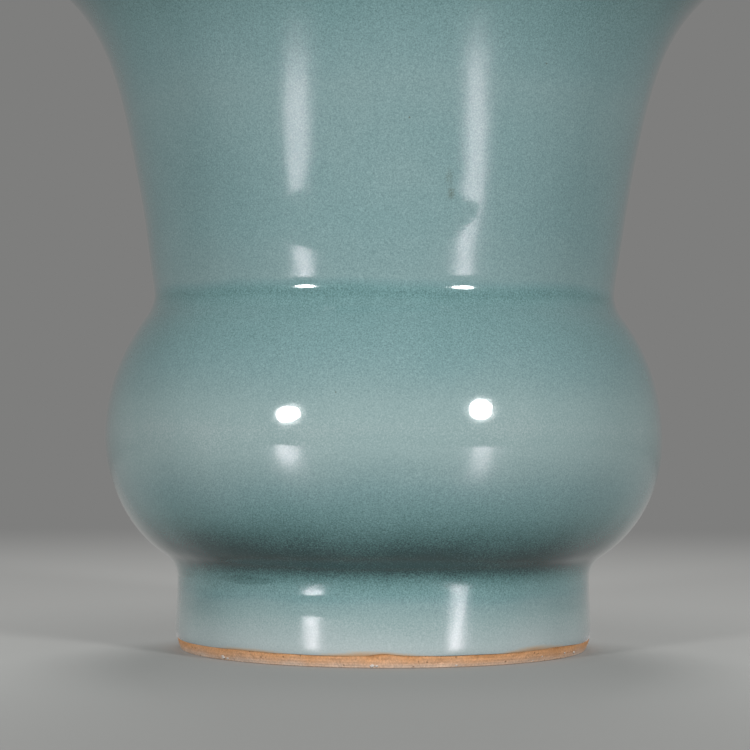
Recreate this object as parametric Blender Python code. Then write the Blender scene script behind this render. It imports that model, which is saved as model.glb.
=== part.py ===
"""Celadon leys jar: a wide-mouthed vessel of thrown stoneware sections, luted and glazed.

The jar is made as a potter makes it. A bowl-shaped belly, a flared neck and a foot ring are
thrown apart, stuck together with slip at the waist and under the bowl, then coated with glaze
outside, inside and in the foot's recess. The foot's lower edge is wiped bare.

Units are metres and +Z is up. The origin is the centre of the foot ring's resting face.
Every piece is turned about Z from an outline of stations. A station is a point on the outline
together with the direction its surface faces, so each coat and wall is an even step inwards.
"""

import math
from collections import namedtuple

import bmesh
import bpy

# Form of the glazed outside, from the table up
FOOT_SWELL = 0.00055
FOOT_SWELL_HEIGHT = 0.0066
FOOT_EDGE_ROUND = 0.0155
THROAT_RADIUS = 0.06295
THROAT_HEIGHT = 0.0201
THROAT_FILLET = 0.0110
BELLY_RADIUS = 0.0850
BELLY_HEIGHT = 0.0642
WAIST_RADIUS = 0.0702
WAIST_HEIGHT = 0.1083
WAIST_FILLET = 0.0130
NECK_TAPER = 0.155
FLARE_LENGTH = 0.0161
FLARE_END_RADIUS = 0.1080
FLARE_END_HEIGHT = 0.2068

# Clay walls and coats
WALL = 0.0052
LIP_WALL = 0.0036
FLOOR_WALL = 0.0065
FLOOR_RADIUS = 0.0420
GLAZE = 0.0009
SLIP = 0.0008
CLEARANCE = 0.0003

# Foot ring
FOOT_WALL = 0.0083
FOOT_INNER_TAPER = 0.13
FOOT_EDGE_BREAK = 0.0005
GLAZE_EDGE_HEIGHT = 0.0034
GLAZE_STAND = 0.00035

# Tongue and groove at the waist
KEY_DEPTH = 0.0016

# Facets
SEGMENTS = 40
FOOT_STEPS = 3
FILLET_STEPS = 3
BELLY_STEPS = 5
SHOULDER_STEPS = 4
WAIST_STEPS = 3
NECK_STEPS = 6
LIP_STEPS = 3

CLAY_GREY = (0.47, 0.42, 0.35, 1.0)
CLAY_BURNT = (0.50, 0.31, 0.17, 1.0)
SLIP_PALE = (0.55, 0.50, 0.43, 1.0)
CELADON = (0.25, 0.37, 0.36, 1.0)
CELADON_INSIDE = (0.27, 0.39, 0.38, 1.0)
CELADON_BASE = (0.24, 0.35, 0.33, 1.0)

Station = namedtuple("Station", "radius height facing")
Arc = namedtuple("Arc", "radius height bend")


def spread(start, end, steps):
    """Return steps + 1 even values from start to end."""
    return [start + (end - start) * i / steps for i in range(steps + 1)]


def sunk(stations, depth):
    """Return the (radius, height) points that lie depth behind each station's surface."""
    return [
        (s.radius - depth * math.cos(s.facing), s.height - depth * math.sin(s.facing))
        for s in stations
    ]


def convex(arc, start, end, steps):
    """Return stations on an arc that swells outwards, between two angles above the horizontal."""
    return [
        Station(arc.radius + arc.bend * math.cos(a), arc.height + arc.bend * math.sin(a), a)
        for a in spread(start, end, steps)
    ]


def hollow(arc, start, end, steps):
    """Return stations on an arc that is hollow, so that it faces its own centre."""
    return [
        Station(arc.radius - arc.bend * math.cos(a), arc.height - arc.bend * math.sin(a), a)
        for a in spread(start, end, steps)
    ]


def belly_bend(fillet_radius, fillet_height, fillet):
    """Return the belly arc's radius, so that it runs tangent into a hollow fillet."""
    rise = fillet_height - BELLY_HEIGHT
    reach = fillet_radius + fillet - BELLY_RADIUS
    return (rise**2 + reach**2 - fillet**2) / (2.0 * (fillet - reach))


def foot_radius(height):
    """Return the foot's outer radius: an easy swell under the throat, rounded in at the edge."""
    if height < FOOT_SWELL_HEIGHT:
        drop = FOOT_SWELL_HEIGHT - height
        rounded = FOOT_EDGE_ROUND - math.sqrt(FOOT_EDGE_ROUND**2 - drop**2)
        return THROAT_RADIUS + FOOT_SWELL - rounded
    turn = math.pi * (THROAT_HEIGHT - height) / (THROAT_HEIGHT - FOOT_SWELL_HEIGHT)
    return THROAT_RADIUS + FOOT_SWELL * 0.5 * (1.0 - math.cos(turn))


def foot_station(height):
    """Return the foot wall's station at a height."""
    step = 0.00001
    slope = (foot_radius(height + step) - foot_radius(height - step)) / (2.0 * step)
    return Station(foot_radius(height), height, -math.atan(slope))


def neck_stations(start):
    """Return the neck from a start station to the lip: a straight taper plus an even flare.

    The flare grows by the same factor over each FLARE_LENGTH of height.
    """
    run = FLARE_END_HEIGHT - start.height
    fade = math.exp(-run / FLARE_LENGTH)
    flare = (FLARE_END_RADIUS - start.radius - NECK_TAPER * run) / (1.0 - fade)
    stations = []
    for part in spread(0.0, 1.0, NECK_STEPS)[1:]:
        height = start.height + run * (1.0 - (1.0 - part) ** 1.7)
        growth = math.exp((height - FLARE_END_HEIGHT) / FLARE_LENGTH)
        radius = start.radius + NECK_TAPER * (height - start.height) + flare * (growth - fade)
        slope = NECK_TAPER + flare * growth / FLARE_LENGTH
        stations.append(Station(radius, height, -math.atan(slope)))
    return stations


lower_bend = belly_bend(THROAT_RADIUS, THROAT_HEIGHT, THROAT_FILLET)
upper_bend = belly_bend(WAIST_RADIUS, WAIST_HEIGHT, WAIST_FILLET)
throat_arc = Arc(THROAT_RADIUS + THROAT_FILLET, THROAT_HEIGHT, THROAT_FILLET)
lower_arc = Arc(BELLY_RADIUS - lower_bend, BELLY_HEIGHT, lower_bend)
upper_arc = Arc(BELLY_RADIUS - upper_bend, BELLY_HEIGHT, upper_bend)
waist_arc = Arc(WAIST_RADIUS + WAIST_FILLET, WAIST_HEIGHT, WAIST_FILLET)

throat_turn = math.atan2(throat_arc.height - lower_arc.height, throat_arc.radius - lower_arc.radius)
waist_turn = math.atan2(waist_arc.height - upper_arc.height, waist_arc.radius - upper_arc.radius)

# The outside in stretches, each without the station it shares with the one below
foot_outside = [foot_station(z) for z in spread(GLAZE_EDGE_HEIGHT, THROAT_HEIGHT, FOOT_STEPS)]
throat_outside = hollow(throat_arc, 0.0, throat_turn, FILLET_STEPS)[1:]
lower_outside = convex(lower_arc, throat_turn, 0.0, BELLY_STEPS)[1:]
upper_outside = convex(upper_arc, 0.0, waist_turn, SHOULDER_STEPS)[1:]
under_waist = hollow(waist_arc, waist_turn, 0.0, WAIST_STEPS)[1:]
over_waist = hollow(waist_arc, 0.0, -math.atan(NECK_TAPER), 1)[1:]
neck_outside = over_waist + neck_stations(over_waist[-1])
bowl_outside = throat_outside + lower_outside + upper_outside + under_waist
outside = foot_outside + bowl_outside + neck_outside

# Depths behind the glazed outside
clay_depth = GLAZE + CLEARANCE


def wall_at(height):
    """Return the clay wall's thickness: even up to the waist, then thinning to the lip."""
    rise = (height - WAIST_HEIGHT) / (FLARE_END_HEIGHT - WAIST_HEIGHT)
    return WALL + (LIP_WALL - WALL) * min(max(rise, 0.0), 1.0)


def clay_inside(stations):
    """Return the clay's inner stations behind outside stations. They still face outwards."""
    inner = []
    for s in stations:
        (radius, height), = sunk([s], clay_depth + wall_at(s.height))
        inner.append(Station(radius, height, s.facing))
    return inner


# The foot and bowl meet at the throat, and the slip fills the seam between them
foot_top = THROAT_HEIGHT - SLIP / 2.0 - CLEARANCE
bowl_underside = THROAT_HEIGHT + SLIP / 2.0 + CLEARANCE
floor_top = bowl_underside + FLOOR_WALL

# The bowl's inside under its widest line: a quarter ellipse down to the flat floor
belly_inner_radius = BELLY_RADIUS - clay_depth - WALL
bowl_width = belly_inner_radius - FLOOR_RADIUS
bowl_depth = BELLY_HEIGHT - floor_top
lower_inside = [Station(0.0, floor_top, -math.pi / 2.0)]
for angle in spread(-math.pi / 2.0, 0.0, BELLY_STEPS + 1):
    lower_inside.append(
        Station(
            FLOOR_RADIUS + bowl_width * math.cos(angle),
            BELLY_HEIGHT + bowl_depth * math.sin(angle),
            math.atan2(math.sin(angle) / bowl_depth, math.cos(angle) / bowl_width),
        )
    )
bowl_inside = lower_inside + clay_inside(upper_outside + under_waist)
neck_inside = clay_inside(neck_outside)
inside = bowl_inside + neck_inside

# The lip is a half round about the middle of the clay wall's end
lip_facing = outside[-1].facing
(lip_radius, lip_height), = sunk([outside[-1]], clay_depth + LIP_WALL / 2.0)
lip_clay = LIP_WALL / 2.0
lip_glaze_under = lip_clay + CLEARANCE
lip_glaze_over = lip_glaze_under + GLAZE
lip_seam = CLEARANCE / 2.0 / lip_glaze_under


def lip_round(bend, start, end, steps):
    """Return points around the lip, with angles counted from its outer side to its inner side."""
    arc = Arc(lip_radius, lip_height, bend)
    return sunk(convex(arc, lip_facing + start, lip_facing + end, steps), 0.0)


def turn(name, outline, colour, roughness, on_axis=False):
    """Turn an outline of (radius, height) points about Z into one closed, shaded body.

    on_axis tells that the outline starts and ends on the axis, so that it needs no closing edge.
    """
    work = bmesh.new()
    points = [work.verts.new((radius, 0.0, height)) for radius, height in outline]
    edges = [work.edges.new(pair) for pair in zip(points, points[1:])]
    if not on_axis:
        edges.append(work.edges.new((points[-1], points[0])))
    bmesh.ops.spin(
        work,
        geom=points + edges,
        axis=(0.0, 0.0, 1.0),
        cent=(0.0, 0.0, 0.0),
        angle=2.0 * math.pi,
        steps=SEGMENTS,
        use_merge=True,
    )
    bmesh.ops.remove_doubles(work, verts=work.verts, dist=0.000001)
    bmesh.ops.recalc_face_normals(work, faces=work.faces)
    mesh = bpy.data.meshes.new(name)
    work.to_mesh(mesh)
    work.free()
    mesh.shade_smooth()
    mesh.set_sharp_from_angle(angle=math.radians(35.0))

    material = bpy.data.materials.new(name)
    material.use_nodes = True
    shader = material.node_tree.nodes["Principled BSDF"]
    shader.inputs["Base Color"].default_value = colour
    shader.inputs["Roughness"].default_value = roughness
    shader.inputs["Metallic"].default_value = 0.0
    mesh.materials.append(material)

    piece = bpy.data.objects.new(name, mesh)
    bpy.context.scene.collection.objects.link(piece)
    return piece


def waist_edge(height, inwards):
    """Return the waist seam's edge at a height: outer corner, key point and inner corner."""
    outer = WAIST_RADIUS - clay_depth
    inner = outer - WALL
    edge = [(outer, height), ((outer + inner) / 2.0, height - KEY_DEPTH), (inner, height)]
    return edge if inwards else edge[::-1]


def foot_inner(height):
    """Return the radius of the foot ring's inner wall, which closes in towards the bowl."""
    return THROAT_RADIUS - clay_depth - FOOT_WALL + FOOT_INNER_TAPER * (THROAT_HEIGHT - height)


def build_clay():
    """Build the three thrown sections and the slip that joins them."""
    seam = SLIP / 2.0 + CLEARANCE
    throat_clay = THROAT_RADIUS - clay_depth

    bowl = [(0.0, bowl_underside), (throat_clay, bowl_underside)]
    bowl += sunk(throat_outside + lower_outside + upper_outside + under_waist[:-1], clay_depth)
    bowl += waist_edge(WAIST_HEIGHT - seam, inwards=True)
    bowl += sunk(bowl_inside[:-1], 0.0)[::-1]
    turn("belly_section", bowl, CLAY_GREY, 0.85, on_axis=True)

    neck = waist_edge(WAIST_HEIGHT + seam, inwards=False)
    neck += sunk(neck_outside, clay_depth)
    neck += lip_round(lip_clay, 0.0, math.pi, 2 * LIP_STEPS)[1:-1]
    neck += sunk(neck_inside, 0.0)[::-1]
    turn("neck_section", neck, CLAY_GREY, 0.85)

    bare = GLAZE_EDGE_HEIGHT - CLEARANCE
    edge = [foot_station(z) for z in spread(FOOT_EDGE_BREAK, bare, 2)]
    ring = [(foot_inner(0.0) + FOOT_EDGE_BREAK, 0.0)]
    ring.append((foot_radius(0.0) - GLAZE_STAND - FOOT_EDGE_BREAK, 0.0))
    ring += sunk(edge, GLAZE_STAND)
    ring.append((foot_radius(bare) - clay_depth, bare))
    ring += sunk(foot_outside[1:-1], clay_depth)
    ring.append((throat_clay, foot_top))
    ring.append((foot_inner(foot_top), foot_top))
    ring.append((foot_inner(FOOT_EDGE_BREAK), FOOT_EDGE_BREAK))
    turn("foot_ring", ring, CLAY_BURNT, 0.9)

    waist_slip = waist_edge(WAIST_HEIGHT - SLIP / 2.0, inwards=True)
    waist_slip += waist_edge(WAIST_HEIGHT + SLIP / 2.0, inwards=False)
    turn("waist_slip_joint", waist_slip, SLIP_PALE, 0.9)

    foot_slip = [
        (foot_inner(foot_top), foot_top + CLEARANCE),
        (throat_clay, foot_top + CLEARANCE),
        (throat_clay, bowl_underside - CLEARANCE),
        (foot_inner(foot_top), bowl_underside - CLEARANCE),
    ]
    turn("foot_slip_joint", foot_slip, SLIP_PALE, 0.9)


def build_glaze():
    """Build the three coats of glaze: outside, inside and in the foot's recess."""
    crown = math.pi / 2.0

    outer = sunk(outside, 0.0)
    outer += lip_round(lip_glaze_over, 0.0, crown - lip_seam, LIP_STEPS)[1:]
    outer += lip_round(lip_glaze_under, crown - lip_seam, 0.0, LIP_STEPS)[:-1]
    outer += sunk(outside, GLAZE)[::-1]
    turn("outer_glaze", outer, CELADON, 0.12)

    inner = sunk(inside, CLEARANCE)
    inner += lip_round(lip_glaze_under, math.pi, crown + lip_seam, LIP_STEPS)[1:]
    inner += lip_round(lip_glaze_over, crown + lip_seam, math.pi, LIP_STEPS)[:-1]
    inner += sunk(inside, CLEARANCE + GLAZE)[::-1]
    turn("inner_glaze", inner, CELADON_INSIDE, 0.14, on_axis=True)

    ceiling = bowl_underside - CLEARANCE
    beside = foot_inner(ceiling) - CLEARANCE
    rim = foot_inner(GLAZE_EDGE_HEIGHT) - CLEARANCE
    cove = 2.0 * GLAZE
    base = [
        (0.0, ceiling),
        (beside, ceiling),
        (rim, GLAZE_EDGE_HEIGHT),
        (rim - GLAZE, GLAZE_EDGE_HEIGHT),
        (foot_inner(ceiling - GLAZE - cove) - CLEARANCE - GLAZE, ceiling - GLAZE - cove),
        (foot_inner(ceiling - GLAZE) - CLEARANCE - GLAZE - cove, ceiling - GLAZE),
        (0.0, ceiling - GLAZE),
    ]
    turn("base_glaze", base, CELADON_BASE, 0.18, on_axis=True)


for old in list(bpy.data.objects):
    bpy.data.objects.remove(old, do_unlink=True)

build_clay()
build_glaze()
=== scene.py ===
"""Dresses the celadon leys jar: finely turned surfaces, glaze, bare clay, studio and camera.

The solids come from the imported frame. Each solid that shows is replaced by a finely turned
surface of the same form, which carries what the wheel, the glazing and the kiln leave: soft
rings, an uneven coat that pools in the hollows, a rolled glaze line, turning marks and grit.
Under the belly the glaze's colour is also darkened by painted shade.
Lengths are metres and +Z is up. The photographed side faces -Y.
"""

import logging
import math
from collections.abc import Callable, Sequence
from dataclasses import dataclass
from enum import Enum
from functools import partial

import bpy
import numpy as np
from mathutils import Matrix, Vector


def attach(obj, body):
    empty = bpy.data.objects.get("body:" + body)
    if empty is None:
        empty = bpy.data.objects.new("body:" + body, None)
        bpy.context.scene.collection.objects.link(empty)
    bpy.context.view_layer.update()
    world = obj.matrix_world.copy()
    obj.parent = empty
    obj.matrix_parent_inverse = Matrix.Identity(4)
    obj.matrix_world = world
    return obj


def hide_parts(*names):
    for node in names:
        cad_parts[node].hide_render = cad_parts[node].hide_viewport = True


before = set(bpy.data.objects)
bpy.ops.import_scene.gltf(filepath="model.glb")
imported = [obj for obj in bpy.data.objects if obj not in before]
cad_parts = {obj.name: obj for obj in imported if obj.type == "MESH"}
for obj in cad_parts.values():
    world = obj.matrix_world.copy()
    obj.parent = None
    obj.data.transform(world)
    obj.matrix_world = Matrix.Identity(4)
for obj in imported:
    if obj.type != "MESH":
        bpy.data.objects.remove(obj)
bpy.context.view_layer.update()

LOG = logging.getLogger("leys_jar")
BODY = "root"
MM = 0.001
TURN = 2.0 * math.pi
QUARTER = 0.25 * TURN
FRONT = -QUARTER

# An edge that turns by more than this stays crisp under smooth shading.
CRISP_ANGLE = math.radians(50.0)

# Most values of a noise texture lie between these two.
NOISE_SPAN = {"From Min": 0.3, "From Max": 0.7}

# The sockets of a Mix node that mixes colours.
COLOUR_A = 6
COLOUR_B = 7
COLOUR_OUT = 2

Point = tuple[float, float, float]
Span = tuple[float, float]
Table = tuple[tuple[float, float], ...]
Stops = Sequence[tuple[float, str | float]]
Socket = bpy.types.NodeSocket
Adder = Callable[..., Socket | None]


class Slot(Enum):
    """The record's material slots that new pieces use."""

    BARE_FOOT = "bare_foot"
    CELADON = "celadon"


class Attribute(Enum):
    """Values that a piece carries on its vertices for its finish to read."""

    GLAZE_DEPTH = "glaze_depth"
    FLASH = "flash"


# Colours, curves and nodes


def linear(hex_colour: str) -> tuple[float, float, float, float]:
    """Turn an sRGB hex colour into the linear RGBA that the shaders take.

    Args:
        hex_colour: six hex digits, with or without a leading #.

    Returns:
        Red, green, blue and an alpha of 1.
    """
    digits = hex_colour.lstrip("#")
    channels = [int(digits[i : i + 2], 16) / 255.0 for i in (0, 2, 4)]
    red, green, blue = (
        c / 12.92 if c <= 0.04045 else ((c + 0.055) / 1.055) ** 2.4 for c in channels
    )
    return red, green, blue, 1.0


def per_metre(size_mm: float) -> float:
    """Turn a pattern's real size in millimetres into a texture scale on Object coordinates."""
    return 1.0 / (size_mm * MM)


def bell(values: np.ndarray, middle: float, width: float) -> np.ndarray:
    """Return a smooth bump of height 1 at middle that fades over width: exp(-(d / width)^2)."""
    return np.exp(-(((values - middle) / width) ** 2))


def ease(values: np.ndarray, start: float, end: float) -> np.ndarray:
    """Return 0 up to start and 1 from end on, with a smooth 3t^2 - 2t^3 step between."""
    t = np.clip((values - start) / (end - start), 0.0, 1.0)
    return t * t * (3.0 - 2.0 * t)


def around(columns: int) -> np.ndarray:
    """Return the angles of evenly spaced columns around the jar."""
    return np.linspace(0.0, TURN, columns, endpoint=False)


def apart(angle: np.ndarray, side: float) -> np.ndarray:
    """Return how far each angle lies from side, the shorter way round, with its sign."""
    return np.angle(np.exp(1j * (angle - side)))


def add_node(
    tree: bpy.types.NodeTree,
    kind: str,
    inputs: dict[int | str, object],
    out: int | str = 0,
    stops: Stops = (),
    **settings: object,
) -> Socket | None:
    """Add one shader node with its settings, input values, links and colour stops.

    Args:
        tree: the node tree that gets the node.
        kind: Blender's name of the node type, without its leading ShaderNode.
        inputs: input socket to a plain value, or to an output socket that is linked to it.
        out: the output socket that is wanted.
        stops: a colour ramp's stops, each a place from 0 to 1 and an sRGB hex colour or a level.
        **settings: properties of the node itself.

    Returns:
        The wanted output socket, or None for a node without outputs.
    """
    node = tree.nodes.new("ShaderNode" + kind)
    for name, value in settings.items():
        setattr(node, name, value)
    for socket, value in inputs.items():
        if isinstance(value, Socket):
            tree.links.new(value, node.inputs[socket])
        else:
            node.inputs[socket].default_value = value
    if stops:
        elements = node.color_ramp.elements
        while len(elements) < len(stops):
            elements.new(1.0)
        for element, (position, colour) in zip(elements, stops):
            element.position = position
            element.color = linear(colour) if isinstance(colour, str) else (colour,) * 3 + (1.0,)
    return node.outputs[out] if node.outputs else None


def node_adder(owner: bpy.types.Material | bpy.types.World) -> Adder:
    """Clear the nodes of a material or world.

    Args:
        owner: the material or world.

    Returns:
        The function add_node for its tree.
    """
    owner.use_nodes = True
    owner.node_tree.nodes.clear()
    return partial(add_node, owner.node_tree)


# The turned form


@dataclass(frozen=True)
class Outline:
    """A turned outline in order of travel, with the outside on its right.

    Attributes:
        radius: distance of each point from the jar's axis.
        height: height of each point above the foot's resting face.
        facing: angle of each point's outward direction above the horizontal, in radians.
    """

    radius: np.ndarray
    height: np.ndarray
    facing: np.ndarray

    def sunk(self, depth: float | np.ndarray) -> "Outline":
        """Return the outline that lies depth behind this one, along each point's facing."""
        radius = self.radius - depth * np.cos(self.facing)
        return Outline(radius, self.height - depth * np.sin(self.facing), self.facing)

    def turned_back(self) -> "Outline":
        """Return the same points in the opposite order, facing the other way."""
        return Outline(self.radius[::-1], self.height[::-1], self.facing[::-1] + math.pi)

    def where(self, kept: slice | np.ndarray) -> "Outline":
        """Return the points that a slice or an array of places keeps."""
        return Outline(self.radius[kept], self.height[kept], self.facing[kept])

    def trimmed(self, first: int = 0, last: int = 0) -> "Outline":
        """Return the outline without so many of its first and last points."""
        return self.where(slice(first, self.radius.size - last))

    def along(self) -> np.ndarray:
        """Return the distance travelled along the outline at each point."""
        steps = np.hypot(np.diff(self.radius), np.diff(self.height))
        return np.concatenate(([0.0], np.cumsum(steps)))

    def evened(self, count: int) -> "Outline":
        """Space points evenly along the same line.

        Args:
            count: number of points.

        Returns:
            The new outline.
        """
        travelled = self.along()
        at = np.linspace(0.0, travelled[-1], count)
        values = (np.interp(at, travelled, v) for v in (self.radius, self.height, self.facing))
        return Outline(*values)

    def raised(
        self, relief: np.ndarray, lift: np.ndarray | float = 0.0
    ) -> tuple[np.ndarray, np.ndarray]:
        """Spread the outline around the jar and raise it by a relief.

        With f each point's facing, radius = |r + relief cos f| and height = z + relief sin f + lift.

        Args:
            relief: distance along each point's facing, of shape (points, columns around).
            lift: further rise straight up.

        Returns:
            Radii and heights of the same shape.
        """
        radius = np.abs(self.radius[:, None] + relief * np.cos(self.facing)[:, None])
        height = self.height[:, None] + relief * np.sin(self.facing)[:, None] + lift
        return radius, height


def chained(*outlines: Outline) -> Outline:
    """Return one outline that runs through several in turn."""
    values = zip(*((o.radius, o.height, o.facing) for o in outlines))
    return Outline(*(np.concatenate(value) for value in values))


def level(radius: np.ndarray, height: float, facing: float) -> Outline:
    """Return a stretch at one height that faces one way."""
    return Outline(radius, np.full_like(radius, height), np.full_like(radius, facing))


def arc(
    radius: float, height: float, bend: float, start: float, end: float, count: int
) -> Outline:
    """Return an arc about a centre in the half plane of radius and height.

    A positive bend swells outwards and faces away from the centre. A negative one is a hollow
    that faces its centre: point = centre + bend * (cos a, sin a), facing a.

    Args:
        radius: the centre's distance from the jar's axis.
        height: the centre's height.
        bend: the arc's radius, negative for a hollow.
        start: facing at the first point, in radians above the horizontal.
        end: facing at the last point.
        count: number of points.

    Returns:
        The arc's outline.
    """
    facing = np.linspace(start, end, count)
    return Outline(radius + bend * np.cos(facing), height + bend * np.sin(facing), facing)


@dataclass(frozen=True)
class JarForm:
    """The jar's sizes in metres, as its solids are turned, and its outlines."""

    foot_swell: float = 0.00055
    foot_swell_height: float = 0.0066
    foot_edge_round: float = 0.0155
    throat_radius: float = 0.06295
    throat_height: float = 0.0201
    throat_fillet: float = 0.0110
    belly_radius: float = 0.0850
    belly_height: float = 0.0642
    waist_radius: float = 0.0702
    waist_height: float = 0.1083
    waist_fillet: float = 0.0130
    neck_taper: float = 0.155
    flare_length: float = 0.0161
    flare_end_radius: float = 0.1080
    flare_end_height: float = 0.2068
    wall: float = 0.0052
    lip_wall: float = 0.0036
    floor_wall: float = 0.0065
    floor_radius: float = 0.0420
    glaze: float = 0.0009
    slip: float = 0.0008
    clearance: float = 0.0003
    foot_wall: float = 0.0083
    foot_inner_taper: float = 0.13
    foot_edge_break: float = 0.0005
    glaze_edge_height: float = 0.0034
    glaze_stand: float = 0.00035
    dense: int = 160

    @property
    def clay_depth(self) -> float:
        """Depth of the clay behind the glazed outside."""
        return self.glaze + self.clearance

    @property
    def bowl_underside(self) -> float:
        """Height of the bowl's flat underside, over the slip on the foot ring."""
        return self.throat_height + self.slip / 2.0 + self.clearance

    @property
    def foot_top(self) -> float:
        """Height of the foot ring's top, under the slip."""
        return self.throat_height - self.slip / 2.0 - self.clearance

    @property
    def floor_top(self) -> float:
        """Height of the clay floor inside the bowl."""
        return self.bowl_underside + self.floor_wall

    def belly_arc(self, radius: float, height: float, fillet: float) -> Point:
        """Work out the belly's arc, so that it runs tangent into a hollow fillet.

        Its bend solves rise^2 + (reach + bend)^2 = (bend + fillet)^2.

        Args:
            radius: the fillet's narrowest radius about the jar's axis.
            height: the fillet's height.
            fillet: the fillet's own radius.

        Returns:
            The radius of the arc's centre, its bend, and its facing where it meets the fillet.
        """
        rise = height - self.belly_height
        reach = radius + fillet - self.belly_radius
        bend = (rise**2 + reach**2 - fillet**2) / (2.0 * (fillet - reach))
        middle = self.belly_radius - bend
        return middle, bend, math.atan2(rise, radius + fillet - middle)

    def foot_side(self, low: float, high: float) -> Outline:
        """Return the foot's outer side: an easy cosine swell, rounded in below its widest line.

        Args:
            low: height of the first point.
            high: height of the last point.

        Returns:
            The outline from low to high.
        """
        height = np.linspace(low, high, self.dense)
        drop = np.clip(self.foot_swell_height - height, 0.0, None)
        rounded = self.foot_edge_round - np.sqrt(self.foot_edge_round**2 - drop**2)
        rise = (self.throat_height - height) / (self.throat_height - self.foot_swell_height)
        swell = 0.5 * (1.0 - np.cos(math.pi * np.clip(rise, 0.0, 1.0)))
        radius = self.throat_radius + self.foot_swell * swell - rounded
        return Outline(radius, height, -np.arctan(np.gradient(radius, height)))

    def foot_inner(self, height: float | np.ndarray) -> float | np.ndarray:
        """Return the radius of the foot ring's inner wall, which closes in towards the bowl."""
        top = self.throat_radius - self.clay_depth - self.foot_wall
        return top + self.foot_inner_taper * (self.throat_height - height)

    def shoulder_and_neck(self) -> Outline:
        """Draw the outside from the widest line of the belly up to the end of the flare.

        The shoulder and the waist are arcs. The neck is a straight taper plus a flare that
        grows by the same factor over each flare_length of height.

        Returns:
            The outline, upwards.
        """
        fillet = self.waist_fillet
        middle, bend, meet = self.belly_arc(self.waist_radius, self.waist_height, fillet)
        shoulder = arc(middle, self.belly_height, bend, 0.0, meet, self.dense)
        centre = self.waist_radius + fillet
        neck_facing = -math.atan(self.neck_taper)
        waist = arc(centre, self.waist_height, -fillet, meet, neck_facing, self.dense)
        height = np.linspace(waist.height[-1], self.flare_end_height, 2 * self.dense)
        fade = math.exp((height[0] - self.flare_end_height) / self.flare_length)
        straight = waist.radius[-1] + self.neck_taper * (height - height[0])
        flare = (self.flare_end_radius - straight[-1]) / (1.0 - fade)
        growth = np.exp((height - self.flare_end_height) / self.flare_length)
        slope = self.neck_taper + flare * growth / self.flare_length
        neck = Outline(straight + flare * (growth - fade), height, -np.arctan(slope))
        return chained(shoulder, waist.trimmed(first=1), neck.trimmed(first=1))

    def lower_belly(self) -> Outline:
        """Draw the outside from the throat over its hollow to the belly's widest line.

        Returns:
            The outline, upwards, without its two end points.
        """
        fillet = self.throat_fillet
        middle, bend, meet = self.belly_arc(self.throat_radius, self.throat_height, fillet)
        centre = self.throat_radius + fillet
        hollow = arc(centre, self.throat_height, -fillet, 0.0, meet, self.dense)
        belly = arc(middle, self.belly_height, bend, meet, 0.0, self.dense)
        return chained(hollow.trimmed(1, 1), belly.trimmed(last=1))

    def outside(self, low: float) -> Outline:
        """Return the whole glazed outside from a height on the foot up to the flare's end."""
        foot = self.foot_side(low, self.throat_height)
        return chained(foot, self.lower_belly(), self.shoulder_and_neck())

    def wall_at(self, height: np.ndarray) -> np.ndarray:
        """Return the clay wall's thickness: even up to the waist, then thinning to the lip."""
        rise = (height - self.waist_height) / (self.flare_end_height - self.waist_height)
        return self.wall + (self.lip_wall - self.wall) * np.clip(rise, 0.0, 1.0)

    def clay_inside(self) -> Outline:
        """Draw the clay's inner face from the floor's centre up to the lip, facing outwards.

        Below the belly's widest line it is a quarter ellipse that runs into a flat floor.

        Returns:
            The outline, upwards.
        """
        upper = self.shoulder_and_neck()
        upper = upper.sunk(self.clay_depth + self.wall_at(upper.height))
        width = self.belly_radius - self.clay_depth - self.wall - self.floor_radius
        depth = self.belly_height - self.floor_top
        angle = np.linspace(-QUARTER, 0.0, self.dense)[:-1]
        bowl = Outline(
            self.floor_radius + width * np.cos(angle),
            self.belly_height + depth * np.sin(angle),
            np.arctan2(np.sin(angle) / depth, np.cos(angle) / width),
        )
        flat = np.linspace(0.0, self.floor_radius, self.dense)[:-1]
        return chained(level(flat, self.floor_top, -QUARTER), bowl, upper)

    def lip(self, bend: float, start: float, end: float, count: int) -> Outline:
        """Draw part of the half-round lip about the end of the clay wall.

        Args:
            bend: distance from the middle of the clay wall's end.
            start: angle of the first point, from 0 at the outer side to half a turn inside.
            end: angle of the last point.
            count: number of points.

        Returns:
            The arc's outline.
        """
        tip = self.shoulder_and_neck().where(slice(-1, None))
        middle = tip.sunk(self.clay_depth + self.lip_wall / 2.0)
        facing = tip.facing[0]
        return arc(middle.radius[0], middle.height[0], bend, facing + start, facing + end, count)


FORM = JarForm()


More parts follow.
